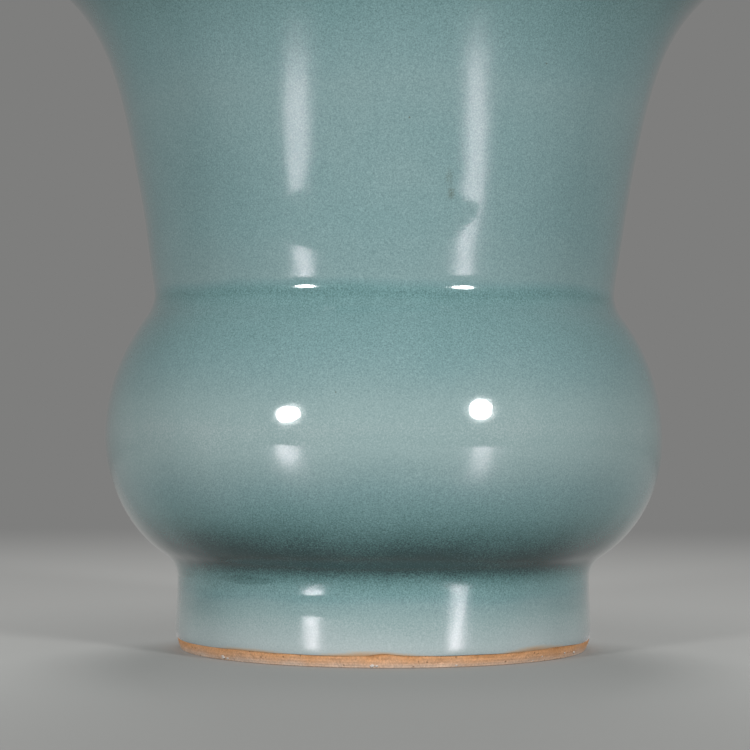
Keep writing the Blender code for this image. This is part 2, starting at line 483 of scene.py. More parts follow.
@dataclass(frozen=True)
class Ripple:
    """An uneven surface as a sum of waves that close around the jar.

    height(s, a) = sum of waves cos(order * a + pitch * s + phase), scaled to a spread of amount.
    Each wave's lean, length and phase are drawn from a fixed seed, and order and pitch follow:
    2 pi / length, shared out by the lean between the way round and the way along.

    Attributes:
        size: typical distance between two humps.
        amount: standard deviation of the surface.
        seed: seed of the draw.
        waves: number of waves.
        lengths: shortest and longest wave, as shares of size.
    """

    size: float
    amount: float
    seed: int
    waves: int = 28
    lengths: Span = (0.7, 1.8)

    def over(self, along: np.ndarray, angle: np.ndarray, girth: float) -> np.ndarray:
        """Work out the surface on a grid.

        Args:
            along: distance along the outline, one value per row.
            angle: angle around the jar, one value per column.
            girth: a typical radius, which sets how many humps go round.

        Returns:
            Heights of shape (rows, columns).
        """
        draw = np.random.default_rng(self.seed)
        lean = draw.uniform(0.0, TURN, self.waves)
        length = self.size * draw.uniform(*self.lengths, self.waves)
        phase = draw.uniform(0.0, TURN, self.waves)
        order = np.round(TURN * girth / length * np.cos(lean))
        pitch = TURN / length * np.sin(lean)
        total = np.zeros((along.size, angle.size))
        for k in range(self.waves):
            total += np.cos(order[k] * angle + pitch[k] * along[:, None] + phase[k])
        return total * self.amount / math.sqrt(self.waves / 2.0)


def quads_around(low: np.ndarray, high: np.ndarray, columns: int) -> list[list[int]]:
    """Join rows of points around an axis by quads.

    Args:
        low: number of the first point of each lower row, of shape (rows, 1).
        high: number of the first point of the row over it, of the same shape.
        columns: points in each row.

    Returns:
        The point numbers of each face.
    """
    here = np.arange(columns)
    there = (here + 1) % columns
    corners = [low + here, low + there, high + there, high + here]
    return np.stack(corners, axis=-1).reshape(-1, 4).tolist()


def capped_rows(rows: int, columns: int, first: int, bottom: int, top: int) -> list[list[int]]:
    """Join rows of points around an axis by quads, and close both ends by triangles to a pole.

    Args:
        rows: number of rows.
        columns: points in each row.
        first: number of the first point of the lowest row.
        bottom: number of the lower pole.
        top: number of the upper pole.

    Returns:
        The point numbers of each face.
    """
    low = first + np.arange(rows - 1)[:, None] * columns
    here = np.arange(columns)
    there = (here + 1) % columns
    last = first + (rows - 1) * columns
    under = np.stack([np.full(columns, bottom), first + there, first + here], axis=-1)
    over = np.stack([last + here, last + there, np.full(columns, top)], axis=-1)
    return quads_around(low, low + columns, columns) + under.tolist() + over.tolist()


def turned_mesh(name: str, radius: np.ndarray, height: np.ndarray, closed: bool) -> bpy.types.Mesh:
    """Turn a grid of radii and heights about Z into one closed mesh.

    Vertex (i, j) is (radius cos a, radius sin a, height) at angle a of column j.

    Args:
        name: the mesh's name.
        radius: radii of shape (points along the outline, columns around).
        height: heights of the same shape.
        closed: whether the outline is a ring. If not, its first and last points are on the axis.

    Returns:
        The mesh, shaded smooth.
    """
    rows, columns = radius.shape
    angle = around(columns)
    grid = np.stack([radius * np.cos(angle), radius * np.sin(angle), height], axis=-1)
    if closed:
        points = grid.reshape(-1, 3)
        row = np.arange(rows)[:, None]
        faces = quads_around(row * columns, (row + 1) % rows * columns, columns)
    else:
        points = np.concatenate([grid[0, :1], grid[1:-1].reshape(-1, 3), grid[-1, :1]])
        faces = capped_rows(rows - 2, columns, first=1, bottom=0, top=len(points) - 1)
    mesh = bpy.data.meshes.new(name)
    mesh.from_pydata(points.tolist(), [], faces)
    mesh.shade_smooth()
    mesh.set_sharp_from_angle(angle=CRISP_ANGLE)
    return mesh


def carry(mesh: bpy.types.Mesh, attribute: Attribute, values: np.ndarray, closed: bool) -> None:
    """Store one value per grid point on a turned mesh.

    Args:
        mesh: a mesh from turned_mesh.
        attribute: the attribute that gets the values.
        values: values of shape (points along the outline, columns around).
        closed: as turned_mesh was told.
    """
    flat = values.reshape(-1)
    if not closed:
        flat = np.concatenate([values[0, :1], values[1:-1].reshape(-1), values[-1, :1]])
    layer = mesh.attributes.new(attribute.value, "FLOAT", "POINT")
    layer.data.foreach_set("value", flat.astype(np.float32))


def place(
    name: str,
    mesh: bpy.types.Mesh,
    material: bpy.types.Material,
    slot: Slot,
    stands_for: str | None = None,
) -> None:
    """Put a finished piece on the jar.

    Args:
        name: the piece's name.
        mesh: its mesh, in place.
        material: its finish.
        slot: the record's slot that the finish belongs to.
        stands_for: the solid that the piece is shown in place of, if any.
    """
    mesh.materials.append(material)
    piece = bpy.data.objects.new(name, mesh)
    bpy.context.scene.collection.objects.link(piece)
    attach(piece, BODY)
    if stands_for:
        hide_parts(stands_for)
    LOG.info("%s: %d faces, in slot %s", name, len(mesh.polygons), slot.value)


# Finishes


@dataclass(frozen=True)
class CeladonGlaze:
    """Celadon: a thick iron-bearing glaze, poured on and fired in a smoky kiln.

    Where it is thin the pale body shows through, and where it pools it turns deeper and greener.
    Tiny bubbles make it finely speckled, and its melted face is glossy with a soft haze. Real
    bubbles are finer than speckle_mm, which is as fine as the picture can show.

    Sizes that end in _mm are millimetres, heights are metres, edges are shares of the gap between
    two marks, and a bloom is a centre and a half width in metres with its strength.
    """

    name: str = "poured_celadon_glaze"
    colour_by_depth: tuple[tuple[float, str], ...] = (
        (0.04, "#C9A27C"),
        (0.10, "#C6B9A6"),
        (0.20, "#BBC8C8"),
        (0.45, "#99B2B2"),
        (0.65, "#8DA9AA"),
        (0.90, "#81A2A4"),
        (1.30, "#759B9C"),
        (1.90, "#5F8686"),
        # This darkest stop is reached only under the outer coat's belly, where it is partly painted
        # shade.
        (2.45, "#3F5D5E"),
    )
    deepest_mm: float = 2.5
    cloud_mm: float = 26.0
    cloud_share: float = 0.09
    speckle_mm: float = 0.40
    speckle_share: float = 0.14
    speckle_height: float = 0.000014
    bubble_shade: float = 0.21
    bubbles_full_mm: float = 1.0
    peel_mm: float = 2.4
    peel_height: float = 0.000005
    wheel_line_mm: Span = (4.0, 0.7)
    wheel_line_height: float = 0.000004
    pinhole_gap_mm: float = 8.0
    pinhole_edge: Span = (0.012, 0.030)
    pinhole_height: float = 0.00012
    pinhole_strength: float = 0.3
    iron: str = "#565E4C"
    iron_speck_gap_mm: float = 17.0
    iron_speck_edge: Span = (0.022, 0.008)
    iron_speck_strength: float = 0.7
    iron_blooms: tuple[tuple[Point, Point, float], ...] = (
        ((0.0184, -0.0717, 0.1323), (0.0017, 0.0040, 0.0026), 0.52),
        ((0.0178, -0.0726, 0.1368), (0.0016, 0.0040, 0.0036), 0.30),
    )
    bloom_breaks: Span = (0.5, 1.3)
    haze_roughness: float = 0.10
    haze_level: float = 0.15
    melt_roughness: float = 0.04
    ior: float = 1.5

    def iron_stain(self, add: Adder, at: Socket, speckle: Socket) -> Socket:
        """Work out how strongly iron stains the glaze: soft blooms on the neck and rare specks.

        Args:
            add: adds a node to the glaze's tree.
            at: Object coordinates.
            speckle: the glaze's fine speckle, which breaks up the blooms.

        Returns:
            The stain's strength.
        """
        rim, core = self.iron_speck_edge
        specks = add("TexVoronoi", {"Vector": at, "Scale": per_metre(self.iron_speck_gap_mm)})
        stain = add(
            "MapRange",
            {"Value": specks, "From Min": rim, "From Max": core, "To Max": self.iron_speck_strength},
            interpolation_type="SMOOTHSTEP",
        )
        faint, strong = self.bloom_breaks
        patchy = add(
            "MapRange", {"Value": speckle, **NOISE_SPAN, "To Min": faint, "To Max": strong}
        )
        for centre, size, strength in self.iron_blooms:
            shift = [-c / s for c, s in zip(centre, size)]
            scale = [1.0 / s for s in size]
            near = add("Mapping", {"Vector": at, "Location": shift, "Scale": scale})
            away = add("VectorMath", {0: near}, "Value", operation="LENGTH")
            bloom = add(
                "MapRange",
                {"Value": away, "From Min": 1.0, "From Max": 0.0, "To Max": strength},
                interpolation_type="SMOOTHSTEP",
            )
            broken = add("Math", {0: bloom, 1: patchy}, operation="MULTIPLY")
            stain = add("Math", {0: stain, 1: broken}, operation="MAXIMUM")
        return stain

    def body_colour(self, add: Adder, at: Socket, speckle: Socket) -> Socket:
        """Work out the glaze's colour.

        It follows the depth that the piece carries. Clouds and bubbles vary that depth, bubbles
        shade it as well, more so where the glaze is thicker, and iron stains it.

        Args:
            add: adds a node to the glaze's tree.
            at: Object coordinates.
            speckle: the glaze's fine speckle.

        Returns:
            The colour.
        """
        depth = add("Attribute", {}, "Fac", attribute_name=Attribute.GLAZE_DEPTH.value)
        clouds = add("TexNoise", {"Vector": at, "Scale": per_metre(self.cloud_mm), "Detail": 3.0})
        varied = depth
        for texture, share in ((clouds, self.cloud_share), (speckle, self.speckle_share)):
            reach = {"To Min": 1.0 - share, "To Max": 1.0 + share}
            drift = add("MapRange", {"Value": texture, **NOISE_SPAN, **reach}, clamp=False)
            varied = add("Math", {0: varied, 1: drift}, operation="MULTIPLY")
        part = add("Math", {0: varied, 1: 1.0 / self.deepest_mm}, operation="MULTIPLY")
        stops = [(mm / self.deepest_mm, colour) for mm, colour in self.colour_by_depth]
        body = add("ValToRGB", {"Fac": part}, stops=stops)
        reach = {"To Min": self.bubble_shade, "To Max": -self.bubble_shade}
        bubbles = add("MapRange", {"Value": speckle, **NOISE_SPAN, **reach}, clamp=False)
        filled = add("Math", {0: depth, 1: self.bubbles_full_mm}, operation="MINIMUM")
        shade = add("Math", {0: bubbles, 1: filled, 2: 1.0}, operation="MULTIPLY_ADD")
        mixed = {"Factor": 1.0, COLOUR_A: body, COLOUR_B: shade}
        speckled = add("Mix", mixed, COLOUR_OUT, data_type="RGBA", blend_type="MULTIPLY")
        stain = self.iron_stain(add, at, speckle)
        mixed = {"Factor": stain, COLOUR_A: speckled, COLOUR_B: linear(self.iron)}
        return add("Mix", mixed, COLOUR_OUT, data_type="RGBA")

    def material(self) -> bpy.types.Material:
        """Make the glaze's material: a hazy, finely frosted body under a clear, pitted coat.

        Returns:
            The material.
        """
        material = bpy.data.materials.new(self.name)
        add = node_adder(material)
        at = add("TexCoord", {}, "Object")
        speckle, peel = (
            add("TexNoise", {"Vector": at, "Scale": per_metre(size), "Detail": detail})
            for size, detail in ((self.speckle_mm, 2.0), (self.peel_mm, 1.0))
        )
        across, up = (per_metre(size) for size in self.wheel_line_mm)
        stretched = add("Mapping", {"Vector": at, "Scale": (across, across, up)})
        lines = add("TexNoise", {"Vector": stretched, "Scale": 1.0, "Detail": 1.0})
        core, rim = self.pinhole_edge
        holes = add("TexVoronoi", {"Vector": at, "Scale": per_metre(self.pinhole_gap_mm)})
        pit = add(
            "MapRange",
            {"Value": holes, "From Min": core, "From Max": rim},
            interpolation_type="SMOOTHSTEP",
        )
        thrown = add("Bump", {"Strength": 1.0, "Distance": self.wheel_line_height, "Height": lines})
        waved = {"Strength": 1.0, "Distance": self.peel_height, "Height": peel, "Normal": thrown}
        swell = add("Bump", waved)
        grainy = {"Strength": 1.0, "Distance": self.speckle_height, "Height": speckle}
        frosted = add("Bump", {**grainy, "Normal": swell})
        sunk = {"Strength": self.pinhole_strength, "Distance": self.pinhole_height, "Height": pit}
        pitted = add("Bump", {**sunk, "Normal": swell})
        face = {
            "Base Color": self.body_colour(add, at, speckle),
            "Roughness": self.haze_roughness,
            "IOR": self.ior,
            "Specular IOR Level": self.haze_level,
            "Normal": frosted,
            "Coat Weight": 1.0,
            "Coat Roughness": self.melt_roughness,
            "Coat IOR": self.ior,
            "Coat Normal": pitted,
        }
        add("OutputMaterial", {"Surface": add("BsdfPrincipled", face)})
        return material


@dataclass(frozen=True)
class FiredClay:
    """Stoneware clay as thrown, turned and fired without glaze.

    It is matt and fine-grained, with sandy specks. Where it meets the flame beside the glaze
    it flashes orange-brown, and below that it stays a paler tan.

    Attributes:
        name: the material's name.
        colours: stops from unflashed to most flashed, with their place from 0 to 1.
        speck: colour of the sparse dark specks.
        grain_mm: size of the sandy grain.
        grain_shade: how far the grain darkens and lightens the colour.
        grain_height: height of the grain in metres.
        speck_gap_mm: distance between two specks.
        speck_edge: where a speck starts and is full, as shares of that distance.
        speck_strength: how far a speck covers the clay.
        speck_pit: depth of a speck in metres.
        blotch_mm: size of the soft patches of colour.
        flash_drift: how far the patches shift the flash.
        roughness: middle roughness.
        roughness_drift: how far the grain varies it.
        ior: index of refraction.
        reads_flash: whether the piece carries a flash attribute. If not, patches stand for it.
    """

    name: str
    colours: tuple[tuple[float, str], ...]
    speck: str
    grain_mm: float = 0.55
    grain_shade: Span = (0.80, 1.16)
    grain_height: float = 0.00008
    speck_gap_mm: float = 2.2
    speck_edge: Span = (0.16, 0.06)
    speck_strength: float = 0.7
    speck_pit: float = 0.00010
    blotch_mm: float = 9.0
    flash_drift: float = 0.16
    roughness: float = 0.82
    roughness_drift: float = 0.12
    ior: float = 1.45
    reads_flash: bool = False

    def material(self) -> bpy.types.Material:
        """Make the clay's material.

        Returns:
            The material.
        """
        material = bpy.data.materials.new(self.name)
        add = node_adder(material)
        at = add("TexCoord", {}, "Object")
        blotch, grain = (
            add("TexNoise", {"Vector": at, "Scale": per_metre(size), "Detail": detail})
            for size, detail in ((self.blotch_mm, 4.0), (self.grain_mm, 3.0))
        )
        flash = blotch
        if self.reads_flash:
            carried = add("Attribute", {}, "Fac", attribute_name=Attribute.FLASH.value)
            reach = {"To Min": -self.flash_drift, "To Max": self.flash_drift}
            shift = add("MapRange", {"Value": blotch, **NOISE_SPAN, **reach})
            flash = add("Math", {0: carried, 1: shift}, operation="ADD")
        tint = add("ValToRGB", {"Fac": flash}, stops=self.colours)
        dark, light = self.grain_shade
        reach = {"To Min": dark, "To Max": light}
        sandy = add("MapRange", {"Value": grain, **NOISE_SPAN, **reach}, clamp=False)
        mixed = {"Factor": 1.0, COLOUR_A: tint, COLOUR_B: sandy}
        grained = add("Mix", mixed, COLOUR_OUT, data_type="RGBA", blend_type="MULTIPLY")
        rim, core = self.speck_edge
        specks = add("TexVoronoi", {"Vector": at, "Scale": per_metre(self.speck_gap_mm)})
        reach = {"From Min": rim, "From Max": core, "To Max": self.speck_strength}
        fleck = add("MapRange", {"Value": specks, **reach})
        mixed = {"Factor": fleck, COLOUR_A: grained, COLOUR_B: linear(self.speck)}
        flecked = add("Mix", mixed, COLOUR_OUT, data_type="RGBA")
        smooth, rough = self.roughness - self.roughness_drift, self.roughness + self.roughness_drift
        sanded = add("Bump", {"Strength": 1.0, "Distance": self.grain_height, "Height": grain})
        sunk = {"Strength": 1.0, "Distance": self.speck_pit, "Height": fleck, "Normal": sanded}
        face = {
            "Base Color": flecked,
            "Roughness": add("MapRange", {"Value": grain, "To Min": smooth, "To Max": rough}),
            "IOR": self.ior,
            "Normal": add("Bump", sunk, invert=True),
        }
        add("OutputMaterial", {"Surface": add("BsdfPrincipled", face)})
        return material


# The clay under the glaze, grey-buff and matt.
HIDDEN_CLAY = FiredClay(
    name="thrown_stoneware_body",
    colours=((0.3, "#B5AB9C"), (0.7, "#A59682")),
    speck="#6E6255",
)
# The watered clay in the seams, paler and finer in grain.
SEAM_SLIP = FiredClay(
    name="brushed_stoneware_slip",
    colours=((0.3, "#C4BAAA"), (0.7, "#B7AB98")),
    speck="#8A7E6E",
    grain_mm=0.3,
)
# The bare foot, pale at its edge and flashed orange-brown up to the glaze line.
FOOT_CLAY = FiredClay(
    name="bare_flashed_stoneware",
    colours=((0.05, "#D9BFAA"), (0.45, "#DDB08C"), (0.78, "#E4AB7A"), (1.0, "#C48A58")),
    speck="#6B4A31",
    reads_flash=True,
)
# Kiln sand that fused to the foot, off-white and gritty.
KILN_SAND = FiredClay(
    name="fused_kiln_sand",
    colours=((0.3, "#E2DCD6"), (0.7, "#CFC6BD")),
    speck="#8F857B",
    grain_mm=0.25,
)


# Pieces


@dataclass
class OuterCoat:
    """The glaze outside, from its rolled edge on the foot up to the crown of the lip.

    Sizes are metres, sides are angles about the jar's axis, and depth_and_shade_by_height pairs a
    height with how thick the glaze looks there, both in millimetres. Round the throat and under
    the belly those depths are partly painted shade, which darkens the downward-facing underside.
    """

    form: JarForm = FORM
    columns: int = 288
    rows: int = 250
    lip_rows: int = 10
    hidden_lip_rows: int = 4
    hidden_rows: int = 30
    edge_rows: int = 5
    edge_depth: float = 0.0003
    edge_thickens: Span = (0.0010, 0.006)
    edge_swell: float = 0.00008
    edge_swell_rise: float = 0.0013
    edge_swell_width: float = 0.0010
    line_wave: Ripple = Ripple(size=0.030, amount=0.00010, seed=11)
    line_lift: float = 0.0003
    line_peak: float = 0.0005
    line_peak_width: float = 0.05
    line_reach: float = 0.007
    hand: Ripple = Ripple(size=0.055, amount=0.00008, seed=5)
    fine_hand: Ripple = Ripple(size=0.013, amount=0.000010, seed=9)
    lip_calm: Span = (0.012, 0.001)
    foot_hand: Ripple = Ripple(size=0.020, amount=0.00003, seed=8)
    foot_hand_ends: Span = (0.014, 0.030)
    foot_bulge: float = 0.00020
    foot_bulge_height: float = 0.0149
    foot_bulge_width: float = 0.0035
    foot_bulge_side: float = math.radians(-114.0)
    foot_straight_side: float = math.radians(-69.0)
    foot_straight_share: float = -0.10
    foot_straight_end: float = 0.032
    foot_side_spread: float = math.radians(27.0)
    throat_hollow: float = 0.00035
    throat_hollow_height: float = 0.0255
    throat_hollow_width: float = 0.0032
    waist_fold: float = 0.00020
    waist_fold_height: float = 0.1076
    waist_fold_width: float = 0.0030
    neck_wave_slope: float = 0.066
    neck_wave_height: float = 0.1238
    neck_wave_above: float = 0.0132
    neck_wave_below: float = 0.0135
    neck_wave_side: float = math.radians(-135.0)
    neck_wave_all_round: float = 0.1
    neck_wave_focus: int = 4
    depth_wander: float = 6.0
    # From about 25 to 42 mm, round the throat and under the belly, the depths are partly the glaze's
    # pool and partly painted shade on the downward-facing underside. High on the flare, at 182 to 206
    # mm, the depth rises again and darkens the glaze there.
    depth_and_shade_by_height: Table = (
        (3.6, 0.04), (3.9, 0.10), (4.4, 0.22), (6.5, 0.27), (9.3, 0.34), (13.5, 0.44),
        (17.5, 0.71), (20.0, 1.16), (22.0, 1.32), (25.0, 1.86), (28.0, 2.46), (31.0, 2.50),
        (36.0, 2.04), (42.0, 1.36), (48.0, 0.98), (54.0, 0.68), (60.0, 0.48), (67.0, 0.42),
        (74.0, 0.51), (82.0, 0.78), (92.0, 1.05), (100.5, 1.12), (103.0, 1.22), (104.6, 1.44),
        (105.4, 1.48), (106.6, 1.26), (107.6, 1.00), (109.2, 0.72), (116.0, 0.80), (125.0, 0.90),
        (150.0, 0.84), (162.0, 0.76), (172.0, 0.94), (182.0, 1.16), (194.0, 1.52), (206.0, 1.45),
        (209.5, 0.72), (212.4, 0.34),
    )

    def beside(self, angle: np.ndarray, side: float) -> np.ndarray:
        """Return 1 at one side of the foot, fading out around it."""
        return bell(apart(angle, side), 0.0, self.foot_side_spread)

    def hidden_depth(self, height: np.ndarray) -> np.ndarray:
        """Return the coat's thickness on the solid: thin at its lower edge, then even."""
        start, end = (self.form.glaze_edge_height + rise for rise in self.edge_thickens)
        return self.edge_depth + (self.form.glaze - self.edge_depth) * ease(height, start, end)

    def outlines(self) -> tuple[Outline, Outline]:
        """Draw the coat's outline.

        Returns:
            The face that is seen, from the rolled edge up to the crown of the lip, and the whole
            ring, which starts with that face and comes back down behind it.
        """
        form = self.form
        outside = form.outside(form.glaze_edge_height)
        face = outside.evened(self.rows)
        clay = form.lip_wall / 2.0 + form.clearance
        lip = form.lip(clay + form.glaze, 0.0, QUARTER, self.lip_rows + 1).trimmed(first=1)
        under_lip = form.lip(clay, QUARTER, 0.0, self.hidden_lip_rows)
        behind = outside.evened(self.hidden_rows)
        behind = behind.sunk(self.hidden_depth(behind.height))
        half = self.edge_depth / 2.0
        bottom = face.where(slice(0, 1))
        middle = bottom.sunk(half)
        out = bottom.facing[0]
        roll = arc(middle.radius[0], middle.height[0], half, out - math.pi, out, self.edge_rows + 2)
        seen = chained(roll.trimmed(1, 1), face, lip)
        return seen, chained(seen, under_lip, behind.turned_back().trimmed(first=1))

    def hand_relief(self, seen: Outline, angle: np.ndarray) -> np.ndarray:
        """Work out the soft unevenness of the whole coat, which calms down at the lip.

        Args:
            seen: the face that is seen.
            angle: angle of each column.

        Returns:
            The relief of each grid point.
        """
        along = seen.along()
        start, end = (along[-1] - short for short in self.lip_calm)
        relief = self.hand.over(along, angle, self.form.belly_radius)
        relief += self.fine_hand.over(along, angle, self.form.belly_radius)
        return relief * (1.0 - ease(along, start, end))[:, None]

    def foot_relief(self, seen: Outline, angle: np.ndarray) -> np.ndarray:
        """Work out how foot and throat stray from a true turning.

        The glaze swells just over its edge. The foot's side is uneven, bulges at one place and
        runs straighter at another, and the throat is a little deeper than its arc.

        Args:
            seen: the face that is seen.
            angle: angle of each column.

        Returns:
            The relief of each grid point.
        """
        form, height = self.form, seen.height
        uneven = self.foot_hand.over(seen.along(), angle, form.throat_radius)
        uneven *= (1.0 - ease(height, *self.foot_hand_ends))[:, None]
        over_edge = height - form.glaze_edge_height
        swell = self.edge_swell * bell(over_edge, self.edge_swell_rise, self.edge_swell_width)
        bulge = self.foot_bulge * bell(height, self.foot_bulge_height, self.foot_bulge_width)
        rise = (height - form.foot_swell_height) / (form.throat_height - form.foot_swell_height)
        rise = np.clip(rise, 0.0, 1.0)
        straight = 0.5 * (1.0 - np.cos(math.pi * rise)) - self.foot_straight_share * rise
        straight *= form.foot_swell * (1.0 - ease(height, form.throat_height, self.foot_straight_end))
        hollow = bell(height, self.throat_hollow_height, self.throat_hollow_width)
        return (
            uneven
            + (swell - self.throat_hollow * hollow)[:, None]
            + bulge[:, None] * self.beside(angle, self.foot_bulge_side)
            + straight[:, None] * self.beside(angle, self.foot_straight_side)
        )

    def neck_relief(self, height: np.ndarray, angle: np.ndarray) -> np.ndarray:
        """Work out how waist and neck stray from a true turning.

        The waist has a fold, u exp(-u^2). The neck has one slow wave, u / (1 + u^2) above its
        middle and u exp(-u^2) below it, which is strongest on one side.

        Args:
            height: height of each row.
            angle: angle of each column.

        Returns:
            The relief of each grid point.
        """
        up = (height - self.waist_fold_height) / self.waist_fold_width
        fold = self.waist_fold * up * np.exp(-(up**2))
        rise = height - self.neck_wave_height
        above = 1.0 / (1.0 + (rise / self.neck_wave_above) ** 2)
        below = np.exp(-((rise / self.neck_wave_below) ** 2))
        wave = self.neck_wave_slope * rise * np.where(rise > 0.0, above, below)
        facing_it = 0.5 + 0.5 * np.cos(angle - self.neck_wave_side)
        one_side = (1.0 - self.neck_wave_all_round) * facing_it**self.neck_wave_focus
        return fold[:, None] - wave[:, None] * (self.neck_wave_all_round + one_side)

    def line_rise(self, height: np.ndarray, angle: np.ndarray) -> np.ndarray:
        """Work out how the glaze line wanders up and down, with one peak at the front.

        Args:
            height: height of each row.
            angle: angle of each column.

        Returns:
            The rise of each grid point, which fades out above the line.
        """
        line = self.line_wave.over(np.zeros(1), angle, self.form.throat_radius)
        line += self.line_peak * bell(apart(angle, FRONT), 0.0, self.line_peak_width)
        line += self.line_lift
        edge = self.form.glaze_edge_height
        return (1.0 - ease(height, edge, edge + self.line_reach))[:, None] * line

    def glaze_depth(self, height: np.ndarray, uneven: np.ndarray) -> np.ndarray:
        """Work out how thick the glaze looks, in millimetres.

        It is read from depth_and_shade_by_height. The glaze pools under the waist and round the
        throat, and thins over the foot, on the widest part of the belly and at the lip. Round the
        throat and under the belly the depth is partly painted shade, which darkens the downward-facing
        underside.

        Args:
            height: height of each grid point.
            uneven: a ripple that makes the pools' edges wander, in metres.

        Returns:
            The depth of each grid point.
        """
        at, depths = np.array(self.depth_and_shade_by_height).T
        return np.interp((height + self.depth_wander * uneven) / MM, at, depths)

    def build(self, glaze: bpy.types.Material) -> None:
        """Build the coat, which is shown in place of the outer glaze.

        Args:
            glaze: the glaze's material.
        """
        seen, ring = self.outlines()
        angle = around(self.columns)
        hand = self.hand_relief(seen, angle)
        relief = hand + self.foot_relief(seen, angle) + self.neck_relief(seen.height, angle)
        still = ((0, ring.radius.size - seen.radius.size), (0, 0))
        radius, height = ring.raised(np.pad(relief, still), self.line_rise(ring.height, angle))
        mesh = turned_mesh("outer_coat", radius, height, closed=True)
        # This depth carries painted shade under the belly as well as the glaze's pools.
        depth = self.glaze_depth(height, np.pad(hand, still))
        carry(mesh, Attribute.GLAZE_DEPTH, depth, closed=True)
        place("outer_coat", mesh, glaze, Slot.CELADON, "outer_glaze")


@dataclass
class InnerCoat:
    """The glaze inside, from the crown of the lip down to the middle of the bowl's floor.

    Sizes are metres and glaze depths, which end in _mm, are millimetres.
    """

    form: JarForm = FORM
    columns: int = 224
    rows: int = 280
    lip_rows: int = 10
    hidden_lip_rows: int = 4
    hidden_rows: int = 36
    ring_pitch: float = 0.0085
    ring_height: float = 0.00014
    ring_least: float = 0.4
    ring_grows: Span = (0.03, 0.09)
    hand: Ripple = Ripple(size=0.05, amount=0.00012, seed=21)
    lip_calm: Span = (0.002, 0.014)
    floor_calm: Span = (0.001, 0.008)
    depth_mm: float = 0.90
    pool_mm: float = 0.55
    pool_rise: Span = (0.001, 0.012)
    waist_mm: float = 0.25
    waist_rise: float = 0.006
    waist_width: float = 0.008
    lip_thins_mm: float = 0.50
    lip_rise: Span = (0.001, 0.0045)

    def outlines(self) -> tuple[Outline, Outline]:
        """Draw the coat's outline.

        Returns:
            The face that is seen, from the crown of the lip down to the floor's middle, and the
            whole line, which starts on the axis behind that face and ends with it.
        """
        form = self.form
        clay = form.clay_inside()
        behind = clay.sunk(form.clearance).evened(self.hidden_rows)
        face = clay.sunk(form.clearance + form.glaze).evened(self.rows).turned_back()
        bend = form.lip_wall / 2.0 + form.clearance
        under_lip = form.lip(bend, math.pi, QUARTER, self.hidden_lip_rows)
        lip = form.lip(bend + form.glaze, QUARTER, math.pi, self.lip_rows + 1).trimmed(last=1)
        seen = chained(lip, face)
        return seen, chained(behind.trimmed(last=1), under_lip, seen)

    def relief(self, seen: Outline, angle: np.ndarray) -> np.ndarray:
        """Work out the throwing ring, a spiral cos(2 pi s / pitch + a), and the uneven hand.

        Args:
            seen: the face that is seen.
            angle: angle of each column.

        Returns:
            The relief of each grid point, calm at the lip and in the floor's middle.
        """
        along = seen.along()
        to_middle = along[-1] - along
        spiral = np.cos(TURN * along[:, None] / self.ring_pitch + angle)
        grown = self.ring_least + (1.0 - self.ring_least) * ease(to_middle, *self.ring_grows)
        relief = self.ring_height * grown[:, None] * spiral
        relief += self.hand.over(along, angle, self.form.waist_radius)
        calm = ease(along, *self.lip_calm) * ease(to_middle, *self.floor_calm)
        return relief * calm[:, None]

    def glaze_depth(self, height: np.ndarray) -> np.ndarray:
        """Work out how thick the glaze looks: a pool on the floor, thin at the lip.

        Args:
            height: height of each grid point.

        Returns:
            The depth of each grid point in millimetres.
        """
        floor, top = self.form.floor_top, self.form.flare_end_height
        pool = 1.0 - ease(height, *(floor + rise for rise in self.pool_rise))
        waist = bell(height, self.form.waist_height + self.waist_rise, self.waist_width)
        lip = ease(height, *(top + rise for rise in self.lip_rise))
        return self.depth_mm + self.pool_mm * pool + self.waist_mm * waist - self.lip_thins_mm * lip

    def build(self, glaze: bpy.types.Material) -> None:
        """Build the coat, which is shown in place of the inner glaze.

        Args:
            glaze: the glaze's material.
        """
        seen, whole = self.outlines()
        still = ((whole.radius.size - seen.radius.size, 0), (0, 0))
        relief = np.pad(self.relief(seen, around(self.columns)), still)
        radius, height = whole.raised(relief)
        mesh = turned_mesh("inner_coat", radius, height, closed=False)
        carry(mesh, Attribute.GLAZE_DEPTH, self.glaze_depth(height), closed=False)
        place("inner_coat", mesh, glaze, Slot.CELADON, "inner_glaze")


